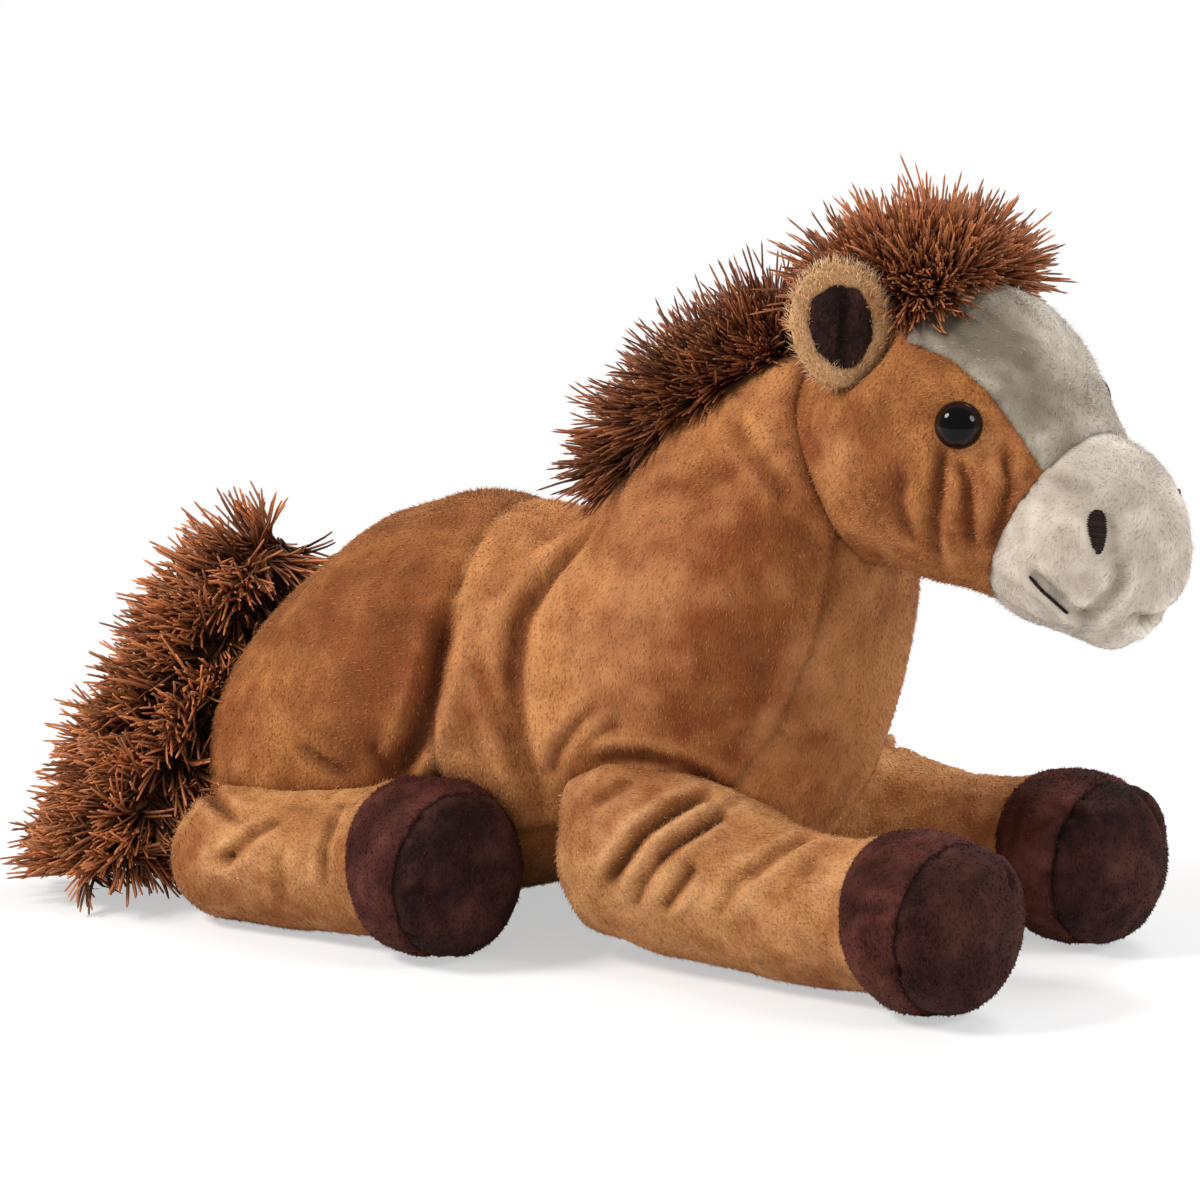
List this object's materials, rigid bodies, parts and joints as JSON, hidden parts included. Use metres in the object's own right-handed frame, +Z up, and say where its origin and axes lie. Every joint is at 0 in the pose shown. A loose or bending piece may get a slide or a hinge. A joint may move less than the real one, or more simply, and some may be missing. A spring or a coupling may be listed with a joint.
{
  "type": "plush horse",
  "caption": "Lying plush horse with stuffed body, soft legs with knit hooves, a long-pile mane and tail, a cream blaze and muzzle, and glossy eyes.",
  "frame": {"origin": "on the floor, in the middle of the flat seat under the hindquarters, on the toy's middle plane", "axes": "+Z up, +X forwards towards the muzzle along the trunk, +Y to the toy's left"},
  "size_m": [0.4484, 0.2406, 0.2853],
  "materials": {
    "tan_plush": "short caramel plush",
    "cream_plush": "short cream plush",
    "brown_knit": "dark brown ribbed knit",
    "mane_pile": "long reddish-brown pile",
    "dark_thread": "dark brown embroidery thread",
    "fibre_filling": "white polyester fibre",
    "eye_black": "glossy black dome",
    "washer_white": "moulded white plastic"
  },
  "bodies": {
    "trunk": {"trunk_fill": "fibre_filling", "hindquarter_right": "tan_plush", "hindquarter_left": "tan_plush", "side_panel_right": "tan_plush", "side_panel_left": "tan_plush", "belly_panel": "tan_plush", "chest_gusset": "tan_plush", "mane": "mane_pile"},
    "head": {"head_fill": "fibre_filling", "cheek_right": "tan_plush", "cheek_left": "tan_plush", "crown_gusset": "tan_plush", "blaze_gusset": "cream_plush", "jaw_gusset": "tan_plush", "muzzle_bridge": "cream_plush", "muzzle_side_right": "cream_plush", "muzzle_side_left": "cream_plush", "chin": "cream_plush", "forelock": "mane_pile", "eye_right": "eye_black", "eye_left": "eye_black", "eye_washer_right": "washer_white", "eye_washer_left": "washer_white", "nostril_right": "dark_thread", "nostril_left": "dark_thread", "mouth_stitch_right": "dark_thread", "mouth_stitch_left": "dark_thread"},
    "tail": {"tail_core": "tan_plush", "tail_pile": "mane_pile"},
    "front_leg_right": {"front_leg_right_fill": "fibre_filling", "front_leg_right_skin_upper": "tan_plush", "front_leg_right_skin_lower": "tan_plush", "front_leg_right_hoof_wall": "brown_knit", "front_leg_right_hoof_sole": "brown_knit", "front_leg_right_seam": "tan_plush"},
    "front_leg_left": {"front_leg_left_fill": "fibre_filling", "front_leg_left_skin_upper": "tan_plush", "front_leg_left_skin_lower": "tan_plush", "front_leg_left_hoof_wall": "brown_knit", "front_leg_left_hoof_sole": "brown_knit", "front_leg_left_seam": "tan_plush"},
    "hind_leg_right": {"hind_leg_right_fill": "fibre_filling", "hind_leg_right_skin_upper": "tan_plush", "hind_leg_right_skin_lower": "tan_plush", "hind_leg_right_hoof_wall": "brown_knit", "hind_leg_right_hoof_sole": "brown_knit"},
    "hind_leg_left": {"hind_leg_left_fill": "fibre_filling", "hind_leg_left_skin_upper": "tan_plush", "hind_leg_left_skin_lower": "tan_plush", "hind_leg_left_hoof_wall": "brown_knit", "hind_leg_left_hoof_sole": "brown_knit"},
    "ear_right": {"ear_outer_right": "tan_plush", "ear_lining_right": "brown_knit"},
    "ear_left": {"ear_outer_left": "tan_plush", "ear_lining_left": "brown_knit"}
  },
  "joints": [
    {"name": "head_turn", "type": "hinge", "parent": "trunk", "child": "head", "pos_m": [0.2133, 0, 0.184], "axis": [0.575, 0, 0.8181], "range_deg": [-12, 12]},
    {"name": "front_leg_right_swing", "type": "hinge", "parent": "trunk", "child": "front_leg_right", "pos_m": [0.1512, -0.0536, 0], "axis": [0, 0, 1], "range_deg": [-18, 4]},
    {"name": "front_leg_left_swing", "type": "hinge", "parent": "trunk", "child": "front_leg_left", "pos_m": [0.1652, 0.0536, 0], "axis": [0, 0, 1], "range_deg": [-4, 18]},
    {"name": "hind_leg_right_swing", "type": "hinge", "parent": "trunk", "child": "hind_leg_right", "pos_m": [-0.00405, -0.08, 0], "axis": [0, 0, 1], "range_deg": [-18, 4]},
    {"name": "hind_leg_left_swing", "type": "hinge", "parent": "trunk", "child": "hind_leg_left", "pos_m": [-0.00405, 0.08, 0], "axis": [0, 0, 1], "range_deg": [-4, 18]},
    {"name": "tail_lift", "type": "hinge", "parent": "trunk", "child": "tail", "pos_m": [-0.0189, 0, 0.1245], "axis": [0, 1, 0], "range_deg": [0, 40]},
    {"name": "ear_right_bend", "type": "hinge", "parent": "head", "child": "ear_right", "pos_m": [0.23429, -0.04483, 0.21996], "axis": [0.8522, 0.4896, 0.1844], "range_deg": [-18, 18], "stiffness_Nm_per_rad": 0.01},
    {"name": "ear_left_bend", "type": "hinge", "parent": "head", "child": "ear_left", "pos_m": [0.24956, 0.0337, 0.21996], "axis": [-0.6068, 0.7732, -0.1844], "range_deg": [-18, 18], "stiffness_Nm_per_rad": 0.01}
  ]
}
